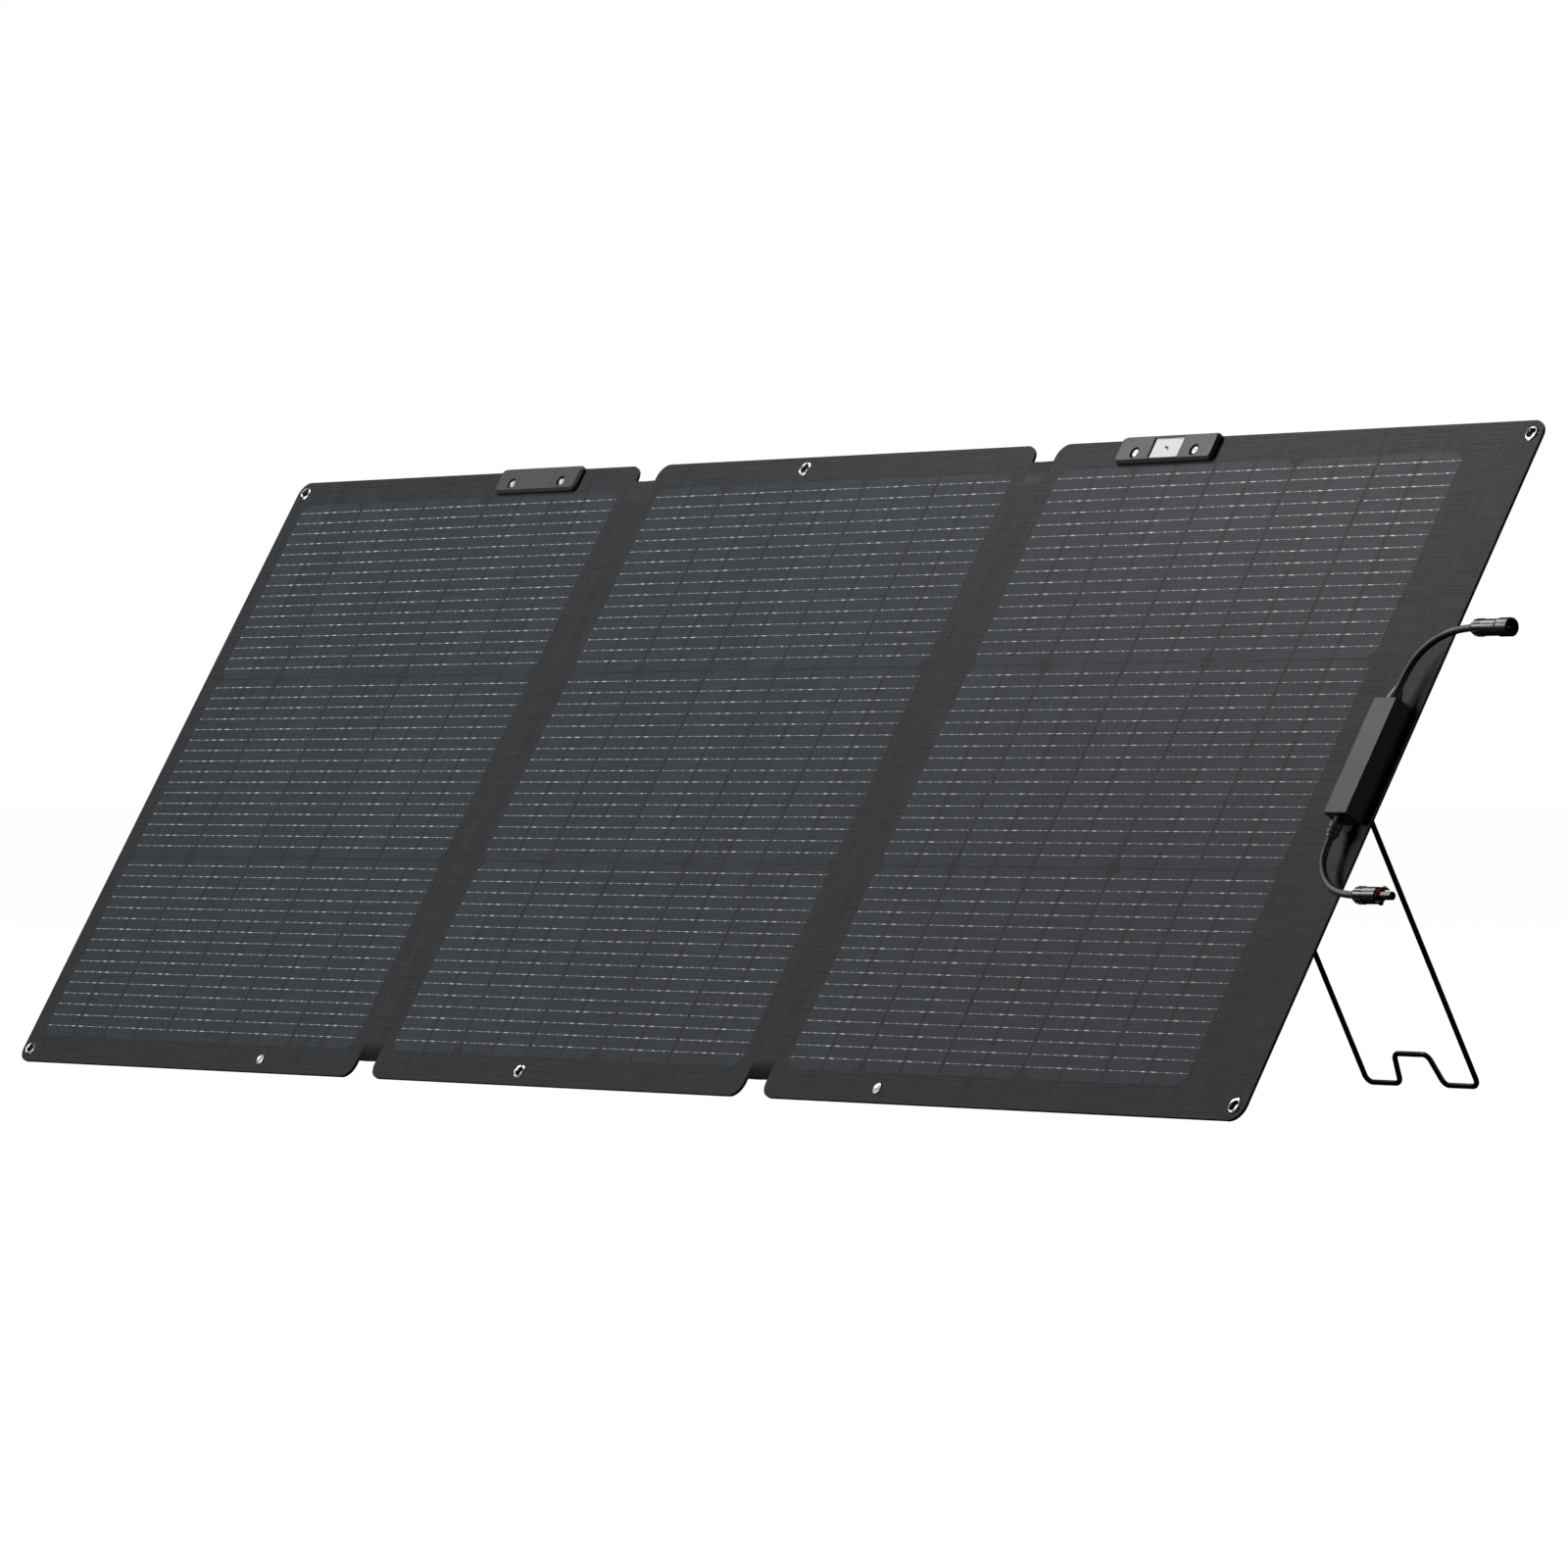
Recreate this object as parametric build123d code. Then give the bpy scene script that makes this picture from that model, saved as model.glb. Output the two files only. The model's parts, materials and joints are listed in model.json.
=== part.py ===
"""A tri-fold portable solar panel, unfolded and leaning on two wire kickstands.

Every sub-part is drawn flat, in the panel frame: X runs along the three panels from the left
edge, Y runs up the face from the bottom edge, and Z comes out of the front face, which is at
Z = 0. stand_up() then leans the panel back and moves it to the row frame, where Z is up.
All sizes are in millimetres and degrees.
"""

from build123d import *
import math
import os

# ---- overall sizes ----
PANEL_HEIGHT = 598.5
LEFT_WIDTH = 512.0
MIDDLE_WIDTH = 504.0
RIGHT_WIDTH = 568.0
FOLD_WIDTH = 27.5
TILT = 59.35
CORNER_RADIUS = 13.0
NOTCH_DEPTH = 15.5
FOLD_GAP = 0.25

# ---- laminate layers, front to back ----
FILM = 0.4
WIRE_LAYER = 0.1
CELL = 0.3
BOARD = 1.8
FABRIC = 0.4
BOARD_EDGE = 0.0
SKIN_INSET = 0.6
RIBBON = 0.2
RIBBON_WIDTH = 8.0
RIBBON_INSET = 60.0

# ---- solar cells ----
COLUMNS = 10
ROWS = 3
COLUMN_GAP = 2.3
ROW_GAP = 1.0
CELL_CHAMFER = 8.0
TOP_MARGIN = 25.0
BOTTOM_MARGIN = 25.5
SIDE_MARGINS = {"left": (20.5, 15.0), "middle": (13.0, 15.0), "right": (15.0, 76.5)}
WIRES_PER_ROW = 16
FIRST_WIRE = 8.3
LAST_WIRE = 10.65
WIRE_WIDTH = 0.5
WIRE_END = 2.0

# ---- eyelets ----
EYELET_INSET = 11.6
MIDDLE_EYELET = 205.5
EYELET_BORE_RADIUS = 4.0
EYELET_WALL = 0.6
EYELET_FLANGE_RADIUS = 6.6
EYELET_FLANGE = 1.0
WASHER = 0.7

# ---- brackets, plates and rivets ----
STAND_FROM_MIDDLE = 419.5
BRACKET_LENGTH = 118.0
BRACKET_BOTTOM_FROM_TOP = 29.5
TOP_OVERHANG = 1.7
BRACKET_DEPTH = 8.5
BRACKET_CORNER = 4.0
PLATE_HEIGHT = 24.5
PLATE_THICKNESS = 4.5
PLATE_CORNER = 5.0
PLATE_BEVEL = 2.2
RIVET_SPACING = 72.0
RIVET_FROM_TOP = 14.4
RIVET_RADIUS = 2.0
RIVET_HEAD_RADIUS = 3.7
RIVET_HEAD = 1.3
RIVET_RECESS_RADIUS = 5.2
RIVET_RECESS = 2.0
BAND_WIDTH = 6.0
BAND_DEPTH = 0.3
BAND_BEVEL = 0.4
BAND_OFFSET = 25.0
WINDOW_LENGTH = 36.0
WINDOW_HEIGHT = 18.5
WINDOW_DEPTH = 1.2
TARGET = 0.8
PIN_RADIUS = 0.8
PIN_HEIGHT = 2.6

# ---- kickstands ----
WIRE_DIAMETER = 4.5
LEG_SPACING = 133.0
OPEN_ANGLE = 59.1
PIVOT_FROM_TOP = 20.0
PIVOT_BEHIND = 6.5
PIVOT_CLEARANCE = 0.05
PIVOT_GRIP = 16.0
WIRE_BEND = 7.0
FOOT_STEP_BASE = 53.0
FOOT_STEP_TOP = 40.0
FOOT_STEP_DEPTH = 28.0
STOP_CLEARANCE = 0.1
STOP_THICKNESS = 2.4
STOP_HEIGHT = 8.0

# ---- foot clips ----
CLIP_GAP = 0.5
CLIP_BOTTOM = 3.0
CLIP_DEPTH = 5.8
CLIP_RIVET_HEIGHT = 12.0
CLIP_RIVET_HEAD_RADIUS = 4.9
CLIP_RIVET_HEAD = 1.1

# ---- junction box ----
BOX_FROM_RIGHT = 20.8
BOX_CENTRE_HEIGHT = 297.0
BOX_WIDTH = 25.5
BOX_LENGTH = 99.0
BOX_HEIGHT = 18.0
BOX_WALL = 1.6
BOX_BASE = 3.0
BOX_FLOOR = 1.2
GASKET = 0.6
BOX_BEVEL = 0.8
LOWER_LEAD_OFFSET = -2.5
LEAD_DIAMETER = 5.5
LEAD_CLEARANCE = 0.05
SOCKET_DEPTH = 5.0
CORE_RADIUS = 1.2
UPPER_GLAND_LENGTH = 12.0
LOWER_GLAND_LENGTH = 17.0
UPPER_GLAND_RADIUS = 6.2
LOWER_GLAND_RADIUS = 5.1
GLAND_NECK_RADIUS = 3.5
BOARD_STANDOFF = 4.0
CIRCUIT = 1.6
CIRCUIT_INSET = 1.0
TERMINAL = 6.0
TERMINAL_FROM_END = 17.0
DIODE_SIZE = (10.0, 15.0, 4.4)
DIODE_OFFSET = 12.0

# ---- leads: bends after the gland, as offsets from the gland's mouth, and their connectors ----
UPPER_BENDS = [(0, 13), (5, 30.5), (18.5, 44), (39, 51.6), (57.3, 51.6)]
LOWER_BENDS = [(0, -11), (5.5, -26), (20.5, -40.5), (40, -47.7), (59.1, -47.7)]

# ---- connectors, measured along their own axis from the cable end ----
NUT_LENGTH = 14.5
NUT_CONE = 4.8
NUT_RADIUS = 6.2
NUT_RIB = 0.6
NUT_RIBS = 12
NUT_MOUTH_RADIUS = 3.5
CABLE_IN_NUT = 6.0
TAIL_RADIUS = 3.9
TAIL_START = 8.0
TAIL_CLEARANCE = 0.1
BODY_START = 14.8
BODY_RADIUS = 6.4
SOCKET_LENGTH = 43.2
SOCKET_COLLAR_START = 31.5
SOCKET_COLLAR_RADIUS = 7.1
SOCKET_BORE_RADIUS = 5.3
SOCKET_BORE_DEPTH = 15.0
SOCKET_SLOT = (6.0, 5.0)
CONTACT_HOLE_RADIUS = 2.1
CONTACT_RADIUS = 1.9
CONTACT_WALL = 0.6
CONTACT_CLEARANCE = 0.05
CONTACT_DEPTH = 10.0
CONTACT_START = 9.0
CONTACT_RECESS = 3.0
PLUG_LENGTH = 42.5
PLUG_BODY_END = 28.5
SLEEVE_RADIUS = 3.2
SEAL_RADIUS = 5.2
SEAL_WIDTH = 1.5
LATCH_INNER = 5.6
LATCH_OUTER = 6.5
LATCH_WIDTH = 4.2
LATCH_TIP = 34.0
LATCH_ROOT_GAP = 0.3
LATCH_BARB = 0.8

# ---- worked out ----
LAMINATE = FILM + WIRE_LAYER + CELL + BOARD + FABRIC
BACK = -LAMINATE
MIDDLE_START = LEFT_WIDTH + FOLD_WIDTH
RIGHT_START = MIDDLE_START + MIDDLE_WIDTH + FOLD_WIDTH
TOTAL_WIDTH = RIGHT_START + RIGHT_WIDTH
PANELS = {
    "left": (0.0, LEFT_WIDTH),
    "middle": (MIDDLE_START, MIDDLE_WIDTH),
    "right": (RIGHT_START, RIGHT_WIDTH),
}
MIDDLE_CENTRE = MIDDLE_START + MIDDLE_WIDTH / 2
STANDS = {"left": MIDDLE_CENTRE - STAND_FROM_MIDDLE, "right": MIDDLE_CENTRE + STAND_FROM_MIDDLE}
EYELET_BARREL_RADIUS = EYELET_BORE_RADIUS + EYELET_WALL
EYELETS = {
    "left": EYELET_INSET,
    "middle": MIDDLE_START + MIDDLE_EYELET,
    "right": TOTAL_WIDTH - EYELET_INSET,
}
PIVOT_HEIGHT = PANEL_HEIGHT - PIVOT_FROM_TOP
WIRE_RADIUS = WIRE_DIAMETER / 2
RIVET_HEIGHT = PANEL_HEIGHT - RIVET_FROM_TOP
PLATE_TOP = PANEL_HEIGHT + TOP_OVERHANG
BOX_CENTRE = TOTAL_WIDTH - BOX_FROM_RIGHT
BOX_TOP = BOX_CENTRE_HEIGHT + BOX_LENGTH / 2
BOX_BOTTOM = BOX_CENTRE_HEIGHT - BOX_LENGTH / 2
LEAD_HEIGHT = (BOX_BASE + GASKET + BOX_HEIGHT - BOX_WALL) / 2
SIN, COS = math.sin(math.radians(TILT)), math.cos(math.radians(TILT))

# The board's lower back edge is the lowest line of the panels, so it rests on the ground.
BOARD_BACK = BACK + FABRIC
GROUND = BOARD_BACK * COS
PIVOT_RISE = PIVOT_HEIGHT * SIN - PIVOT_BEHIND * COS - GROUND
LEG_LENGTH = (PIVOT_RISE - WIRE_RADIUS) / math.sin(math.radians(TILT + OPEN_ANGLE))
FOOT_REACH = (
    PIVOT_HEIGHT * COS
    + PIVOT_BEHIND * SIN
    - LEG_LENGTH * math.cos(math.radians(TILT + OPEN_ANGLE))
    + WIRE_RADIUS
)
CENTRE_Y = FOOT_REACH / 2


def stand_up(shape):
    """Lean a flat shape back by the tilt and move it so that the ground is at Z = 0."""
    return Pos(-TOTAL_WIDTH / 2, -CENTRE_Y, -GROUND) * (Rot(X=TILT) * shape)


def save(name, *shapes):
    """Write one node, made of one or more separate solids."""
    solids = [solid for shape in shapes for solid in stand_up(shape).solids()]
    export_step(Compound(children=solids), f"parts/{name}.step")


def block(x, y, z):
    """A box between two corners on each axis."""
    size = (x[1] - x[0], y[1] - y[0], z[1] - z[0])
    centre = ((x[0] + x[1]) / 2, (y[0] + y[1]) / 2, (z[0] + z[1]) / 2)
    return Pos(*centre) * Box(*size)


def prism(points, z):
    """A polygon in the plane of the panel, between two heights."""
    face = make_face(Polyline(*points, close=True))
    return Pos(0, 0, z[0]) * extrude(face, z[1] - z[0])


def rounded(x, y, z, radius):
    """A block with its four upright edges rounded."""
    centre = ((x[0] + x[1]) / 2, (y[0] + y[1]) / 2, z[0])
    return Pos(*centre) * extrude(
        RectangleRounded(x[1] - x[0], y[1] - y[0], radius), z[1] - z[0]
    )


def rod(x, y, z, radius):
    """A cylinder that points out of the panel."""
    return Pos(x, y, (z[0] + z[1]) / 2) * Cylinder(radius, z[1] - z[0])


def turned_out(profile, x, y):
    """A ring turned about a line that points out of the panel, from (radius, z) points."""
    face = make_face(Polyline(*[(r, 0, z) for r, z in profile], close=True))
    return Pos(x, y, 0) * revolve(face, axis=Axis.Z)


def turned_along(profile):
    """A shape turned about the X axis, from (x, radius) points."""
    face = make_face(Polyline(*[(x, r, 0) for x, r in profile], close=True))
    return revolve(face, axis=Axis.X)


# ---- laminate ----
def eyelet_places(side):
    heights = (EYELET_INSET, PANEL_HEIGHT - EYELET_INSET)
    return [(EYELETS[side], height) for height in heights]


def rivet_places(side):
    """The rivets through a bracket, and the one through the foot clip."""
    if side not in STANDS:
        return []
    centre = STANDS[side]
    pair = [(centre + s * RIVET_SPACING / 2, RIVET_HEIGHT) for s in (-1, 1)]
    return pair + [(centre, CLIP_RIVET_HEIGHT)]


def layer(side, z, inset=0.0):
    """One layer of a panel's laminate, with its eyelet and rivet holes."""
    start, width = PANELS[side]
    sheet = rounded(
        (start + inset, start + width - inset),
        (inset, PANEL_HEIGHT - inset),
        z,
        CORNER_RADIUS - inset,
    )
    for x, y in eyelet_places(side):
        sheet -= rod(x, y, (z[0] - 1, z[1] + 1), EYELET_BARREL_RADIUS)
    for x, y in rivet_places(side):
        sheet -= rod(x, y, (z[0] - 1, z[1] + 1), RIVET_RADIUS)
    return sheet


def field(side):
    """A panel's cell field: its left and right edges, and its bottom and top."""
    start, width = PANELS[side]
    left, right = SIDE_MARGINS[side]
    return (start + left, start + width - right), (BOTTOM_MARGIN, PANEL_HEIGHT - TOP_MARGIN)


def cell_size(side):
    (left, right), (bottom, top) = field(side)
    width = (right - left - (COLUMNS - 1) * COLUMN_GAP) / COLUMNS
    height = (top - bottom - (ROWS - 1) * ROW_GAP) / ROWS
    return width, height


def cells(side, z):
    """Quarter-cut cells. A whole cell's cut corners show where its end quarters meet."""
    (left, _), (bottom, _) = field(side)
    width, height = cell_size(side)
    made = []
    for row in range(ROWS):
        low = bottom + row * (height + ROW_GAP)
        for column in range(COLUMNS):
            near = left + column * (width + COLUMN_GAP)
            cut_near = CELL_CHAMFER if column in (0, 2, 6) else 0
            cut_far = CELL_CHAMFER if column in (1, 5, 9) else 0
            made.append(prism(cell_outline(near, low, width, height, cut_near, cut_far), z))
    return made


def cell_outline(x, y, width, height, cut_near, cut_far):
    points = []
    for corner_x, corner_y, cut, turn in (
        (x, y, cut_near, ((0, 1), (1, 0))),
        (x + width, y, cut_far, ((-1, 0), (0, 1))),
        (x + width, y + height, cut_far, ((0, -1), (-1, 0))),
        (x, y + height, cut_near, ((1, 0), (0, -1))),
    ):
        steps = turn if cut else turn[:1]
        points += [(corner_x + cut * dx, corner_y + cut * dy) for dx, dy in steps]
    return points


def cell_wires(side, z):
    """Round-wire busbars, drawn as thin flat strips that lie on the cells.

    The first is FIRST_WIRE below a cell's top edge, and the last LAST_WIRE above its bottom.
    """
    (left, right), (bottom, _) = field(side)
    _, height = cell_size(side)
    pitch = (height - FIRST_WIRE - LAST_WIRE) / (WIRES_PER_ROW - 1)
    span = (left + WIRE_END, right - WIRE_END)
    made = []
    for row in range(ROWS):
        for wire in range(WIRES_PER_ROW):
            y = bottom + row * (height + ROW_GAP) + LAST_WIRE + wire * pitch
            made.append(block(span, (y - WIRE_WIDTH / 2, y + WIRE_WIDTH / 2), z))
    return made


def encapsulant(side, z, made_cells):
    """The bonding sheet around the cells, with a shallow pocket for the wires over them."""
    across, up = field(side)
    sheet = layer(side, z, SKIN_INSET) - block(across, up, (z[1] - WIRE_LAYER, z[1] + 1))
    return sheet - made_cells


def save_laminate(side):
    film_back = -FILM
    cell_top = film_back - WIRE_LAYER
    cell_bottom = cell_top - CELL
    made_cells = cells(side, (cell_bottom, cell_top))
    save(f"{side}_front_film", layer(side, (film_back, 0), BOARD_EDGE))
    save(f"{side}_cell_wires", *cell_wires(side, (cell_top, film_back)))
    save(f"{side}_cells", *made_cells)
    save(f"{side}_encapsulant", encapsulant(side, (cell_bottom, film_back), made_cells))
    save(f"{side}_board", layer(side, (BOARD_BACK, cell_bottom), BOARD_EDGE))
    save(f"{side}_back_fabric", layer(side, (BACK, BOARD_BACK), SKIN_INSET))


# ---- eyelets ----
def eyelet(x, y):
    """A flanged barrel, with a rounded front flange."""
    bore, barrel, flange = EYELET_BORE_RADIUS, EYELET_BARREL_RADIUS, EYELET_FLANGE_RADIUS
    roll = EYELET_WALL
    profile = [
        (bore, BACK - WASHER),
        (barrel, BACK - WASHER),
        (barrel, 0),
        (flange, 0),
        (flange - 0.2, EYELET_FLANGE / 2),
        (flange - 1.0, EYELET_FLANGE - 0.1),
        (bore + 1.4, EYELET_FLANGE),
        (bore + roll, EYELET_FLANGE - 0.15),
        (bore + 0.15, EYELET_FLANGE / 2),
        (bore, 0),
    ]
    return turned_out(profile, x, y)


def washer(x, y):
    low, high = BACK - WASHER, BACK
    ring = rod(x, y, (low, high), EYELET_FLANGE_RADIUS)
    ring = chamfer(ring.edges().group_by(Axis.Z)[0], WASHER / 2)
    return ring - rod(x, y, (low - 1, high + 1), EYELET_BARREL_RADIUS)


def save_eyelets(side):
    places = eyelet_places(side)
    save(f"{side}_eyelets", *[eyelet(x, y) for x, y in places])
    save(f"{side}_eyelet_washers", *[washer(x, y) for x, y in places])


# ---- fold strips ----
def save_folds():
    """Each fold is only the two skins, with the flat conductors between them."""
    spans = {
        "left": (LEFT_WIDTH + FOLD_GAP, MIDDLE_START),
        "right": (MIDDLE_START + MIDDLE_WIDTH, RIGHT_START - FOLD_GAP),
    }
    up = (NOTCH_DEPTH, PANEL_HEIGHT - NOTCH_DEPTH)
    ribbons = []
    for side, across in spans.items():
        save(f"{side}_fold_film", block(across, up, (-FILM, 0)))
        back = -FILM - RIBBON
        save(f"{side}_fold_fabric", block(across, up, (back - FABRIC, back)))
        for y in (RIBBON_INSET, PANEL_HEIGHT - RIBBON_INSET):
            ribbons.append(block(across, (y - RIBBON_WIDTH, y + RIBBON_WIDTH), (back, -FILM)))
    save("fold_ribbons", *ribbons)


# ---- front plates and guide ----
def rivet_cuts(centre):
    """Recesses and holes for the two rivets through a front plate."""
    floor = PLATE_THICKNESS - RIVET_RECESS
    cuts = []
    for x in (centre - RIVET_SPACING / 2, centre + RIVET_SPACING / 2):
        cuts.append(rod(x, RIVET_HEIGHT, (floor, PLATE_THICKNESS + 1), RIVET_RECESS_RADIUS))
        cuts.append(rod(x, RIVET_HEIGHT, (-1, PLATE_THICKNESS), RIVET_RADIUS))
    return cuts


def plain_plate(centre):
    half = BRACKET_LENGTH / 2
    plate = rounded(
        (centre - half, centre + half),
        (PLATE_TOP - PLATE_HEIGHT, PLATE_TOP),
        (0, PLATE_THICKNESS),
        PLATE_CORNER,
    )
    plate = chamfer(plate.edges().group_by(Axis.Z)[-1], PLATE_BEVEL)
    for cut in rivet_cuts(centre):
        plate -= cut
    return plate


def banded_plate(centre):
    """The left plate has a shallow sunken band each side of its middle."""
    plate = plain_plate(centre)
    top, floor = PLATE_THICKNESS, PLATE_THICKNESS - BAND_DEPTH
    for x in (centre - BAND_OFFSET, centre + BAND_OFFSET):
        section = [
            (x - BAND_WIDTH / 2, 0, top),
            (x - BAND_WIDTH / 2 + BAND_BEVEL, 0, floor),
            (x + BAND_WIDTH / 2 - BAND_BEVEL, 0, floor),
            (x + BAND_WIDTH / 2, 0, top),
        ]
        band = extrude(make_face(Polyline(*section, close=True)), PLATE_HEIGHT, both=True)
        plate -= Pos(0, PLATE_TOP - PLATE_HEIGHT / 2, 0) * band
    return plate


def window_box(centre, z, shrink=0.0):
    middle = PLATE_TOP - PLATE_HEIGHT / 2
    across = WINDOW_LENGTH / 2 - shrink
    up = WINDOW_HEIGHT / 2 - shrink
    return block((centre - across, centre + across), (middle - up, middle + up), z)


def save_plates():
    save("left_front_plate", banded_plate(STANDS["left"]))
    centre = STANDS["right"]
    floor = PLATE_THICKNESS - WINDOW_DEPTH - TARGET
    plate = plain_plate(centre) - window_box(centre, (floor, PLATE_THICKNESS + 1))
    save("guide_plate", plate)
    middle = PLATE_TOP - PLATE_HEIGHT / 2
    target = window_box(centre, (floor, floor + TARGET))
    target -= rod(centre, middle, (floor - 1, floor + TARGET + 1), PIN_RADIUS)
    save("guide_target", target)
    save("guide_pin", rod(centre, middle, (floor, floor + PIN_HEIGHT), PIN_RADIUS))


# ---- rear brackets, rivets and clips ----
def bracket(centre):
    """A block that clamps the panel's top edge and holds the wire's two ends."""
    half = BRACKET_LENGTH / 2
    low, high = BACK - BRACKET_DEPTH, BACK
    bottom = PANEL_HEIGHT - BRACKET_BOTTOM_FROM_TOP
    body = rounded(
        (centre - half, centre + half), (bottom, PLATE_TOP), (low, high), BRACKET_CORNER
    )
    body = chamfer(body.edges().group_by(Axis.Z)[0], 1.0)
    lip_ends = (centre - half + PLATE_CORNER, centre + half - PLATE_CORNER)
    body += block(lip_ends, (PANEL_HEIGHT, PLATE_TOP), (high, 0))
    for sign in (-1, 1):
        body += stop_lug(centre, sign)
    for sign in (-1, 1):
        body -= pivot_bore(centre, sign)
    for x in (centre - RIVET_SPACING / 2, centre + RIVET_SPACING / 2):
        body -= rod(x, RIVET_HEIGHT, (low - 1, high + 1), RIVET_RADIUS)
        body -= rod(x, RIVET_HEIGHT, (low - 1, low + RIVET_HEAD), RIVET_RECESS_RADIUS)
    return body


def pivot_bore(centre, sign):
    """A blind hole for one end of the wire."""
    depth = PIVOT_GRIP + 1.0
    outer = BRACKET_LENGTH / 2
    hole = Rot(Y=90) * Cylinder(WIRE_RADIUS + PIVOT_CLEARANCE, depth)
    x = centre + sign * (outer - depth / 2)
    return Pos(x, PIVOT_HEIGHT, -PIVOT_BEHIND) * hole


def stop_lug(centre, sign):
    """An ear beside each leg's root, whose sloped underside stops the leg at its open angle."""
    angle = math.radians(OPEN_ANGLE)
    along = (-math.cos(angle), -math.sin(angle))
    away = (math.sin(angle), -math.cos(angle))
    offset = WIRE_RADIUS + STOP_CLEARANCE
    back = BACK - BRACKET_DEPTH
    front = back + STOP_THICKNESS

    def on_slope(z):
        reach = (z + PIVOT_BEHIND - away[1] * offset) / along[1]
        return PIVOT_HEIGHT + away[0] * offset + along[0] * reach

    top = PIVOT_HEIGHT + STOP_HEIGHT
    section = [(on_slope(front), front), (top, front), (top, back), (on_slope(back), back)]
    inner = BRACKET_LENGTH / 2 - BRACKET_CORNER - 1.0
    outer = LEG_SPACING / 2 + WIRE_RADIUS + 1.2
    face = make_face(Polyline(*[(0, y, z) for y, z in section], close=True))
    lug = extrude(face, outer - inner, dir=(1, 0, 0))
    start = centre + inner if sign > 0 else centre - outer
    return Pos(start, 0, 0) * lug


def bracket_rivet(x):
    """A shank with a domed, dimpled front head and a flat rear head."""
    front = PLATE_THICKNESS - RIVET_RECESS
    rear = BACK - BRACKET_DEPTH + RIVET_HEAD
    radius, head = RIVET_RADIUS, RIVET_HEAD_RADIUS
    profile = [
        (0, rear - RIVET_HEAD + 0.2),
        (head - 0.4, rear - RIVET_HEAD + 0.2),
        (head, rear - 0.4),
        (head, rear),
        (radius, rear),
        (radius, front),
        (head, front),
        (head, front + RIVET_HEAD * 0.4),
        (head - 0.5, front + RIVET_HEAD * 0.85),
        (head - 1.4, front + RIVET_HEAD),
        (radius * 0.6, front + RIVET_HEAD * 0.8),
        (0, front + RIVET_HEAD * 0.6),
    ]
    return turned_out(profile, x, RIVET_HEIGHT)


def clip_rivet(x):
    radius, head = RIVET_RADIUS, CLIP_RIVET_HEAD_RADIUS
    rear = BACK - CLIP_DEPTH
    profile = [
        (0, rear - 0.8),
        (radius + 1.2, rear - 0.8),
        (radius + 1.5, rear),
        (radius, rear),
        (radius, 0),
        (head, 0),
        (head - 0.3, CLIP_RIVET_HEAD * 0.6),
        (head - 1.6, CLIP_RIVET_HEAD),
        (radius * 0.7, CLIP_RIVET_HEAD * 0.75),
        (0, CLIP_RIVET_HEAD * 0.6),
    ]
    return turned_out(profile, x, CLIP_RIVET_HEIGHT)


def foot_clip(centre):
    """A tapered block that the stowed foot's step fits round."""
    foot = PIVOT_HEIGHT - LEG_LENGTH
    top = foot + FOOT_STEP_DEPTH - WIRE_RADIUS - CLIP_GAP
    slope = (FOOT_STEP_BASE - FOOT_STEP_TOP) / 2 / FOOT_STEP_DEPTH
    aside = (WIRE_RADIUS + CLIP_GAP) * math.hypot(1, slope)

    def half_at(y):
        return FOOT_STEP_BASE / 2 - slope * (y - foot) - aside

    low_half = half_at(foot)
    points = [
        (centre - low_half, CLIP_BOTTOM),
        (centre + low_half, CLIP_BOTTOM),
        (centre + low_half, foot),
        (centre + half_at(top), top),
        (centre - half_at(top), top),
        (centre - low_half, foot),
    ]
    clip = prism(points, (BACK - CLIP_DEPTH, BACK))
    corners = clip.edges().filter_by(Axis.Z).group_by(Axis.Y)
    clip = fillet(corners[-1], WIRE_BEND - WIRE_RADIUS - CLIP_GAP)
    clip = fillet(clip.edges().filter_by(Axis.Z).group_by(Axis.Y)[0], 3.0)
    clip = chamfer(clip.faces().sort_by(Axis.Z)[0].edges(), 0.8)
    return clip - rod(centre, CLIP_RIVET_HEIGHT, (BACK - CLIP_DEPTH - 1, BACK + 1), RIVET_RADIUS)


def kickstand(centre):
    """A bent wire: two pivot ends, two legs, and a foot with a step, opened to the ground."""
    half, length = LEG_SPACING / 2, LEG_LENGTH
    end = BRACKET_LENGTH / 2 - PIVOT_GRIP
    step = length - FOOT_STEP_DEPTH
    route = [
        (-end, 0),
        (-half, 0),
        (-half, -length),
        (-FOOT_STEP_BASE / 2, -length),
        (-FOOT_STEP_TOP / 2, -step),
        (FOOT_STEP_TOP / 2, -step),
        (FOOT_STEP_BASE / 2, -length),
        (half, -length),
        (half, 0),
        (end, 0),
    ]
    path = FilletPolyline(*route, radius=WIRE_BEND)
    wire = sweep(Plane(origin=path @ 0, z_dir=path % 0) * Circle(WIRE_RADIUS), path=path)
    return Pos(centre, PIVOT_HEIGHT, -PIVOT_BEHIND) * (Rot(X=OPEN_ANGLE) * wire)


def save_stands():
    for side, centre in STANDS.items():
        save(f"{side}_bracket", bracket(centre))
        pair = [bracket_rivet(centre + s * RIVET_SPACING / 2) for s in (-1, 1)]
        save(f"{side}_rivets", *pair, clip_rivet(centre))
        save(f"{side}_foot_clip", foot_clip(centre))
        save(f"{side}_kickstand", kickstand(centre))


# ---- junction box ----
def box_block(inset, z):
    half_x, half_y = BOX_WIDTH / 2 - inset, BOX_LENGTH / 2 - inset
    return block(
        (BOX_CENTRE - half_x, BOX_CENTRE + half_x),
        (BOX_CENTRE_HEIGHT - half_y, BOX_CENTRE_HEIGHT + half_y),
        z,
    )


def lead_x(which):
    return BOX_CENTRE + (LOWER_LEAD_OFFSET if which == "lower" else 0)


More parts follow.
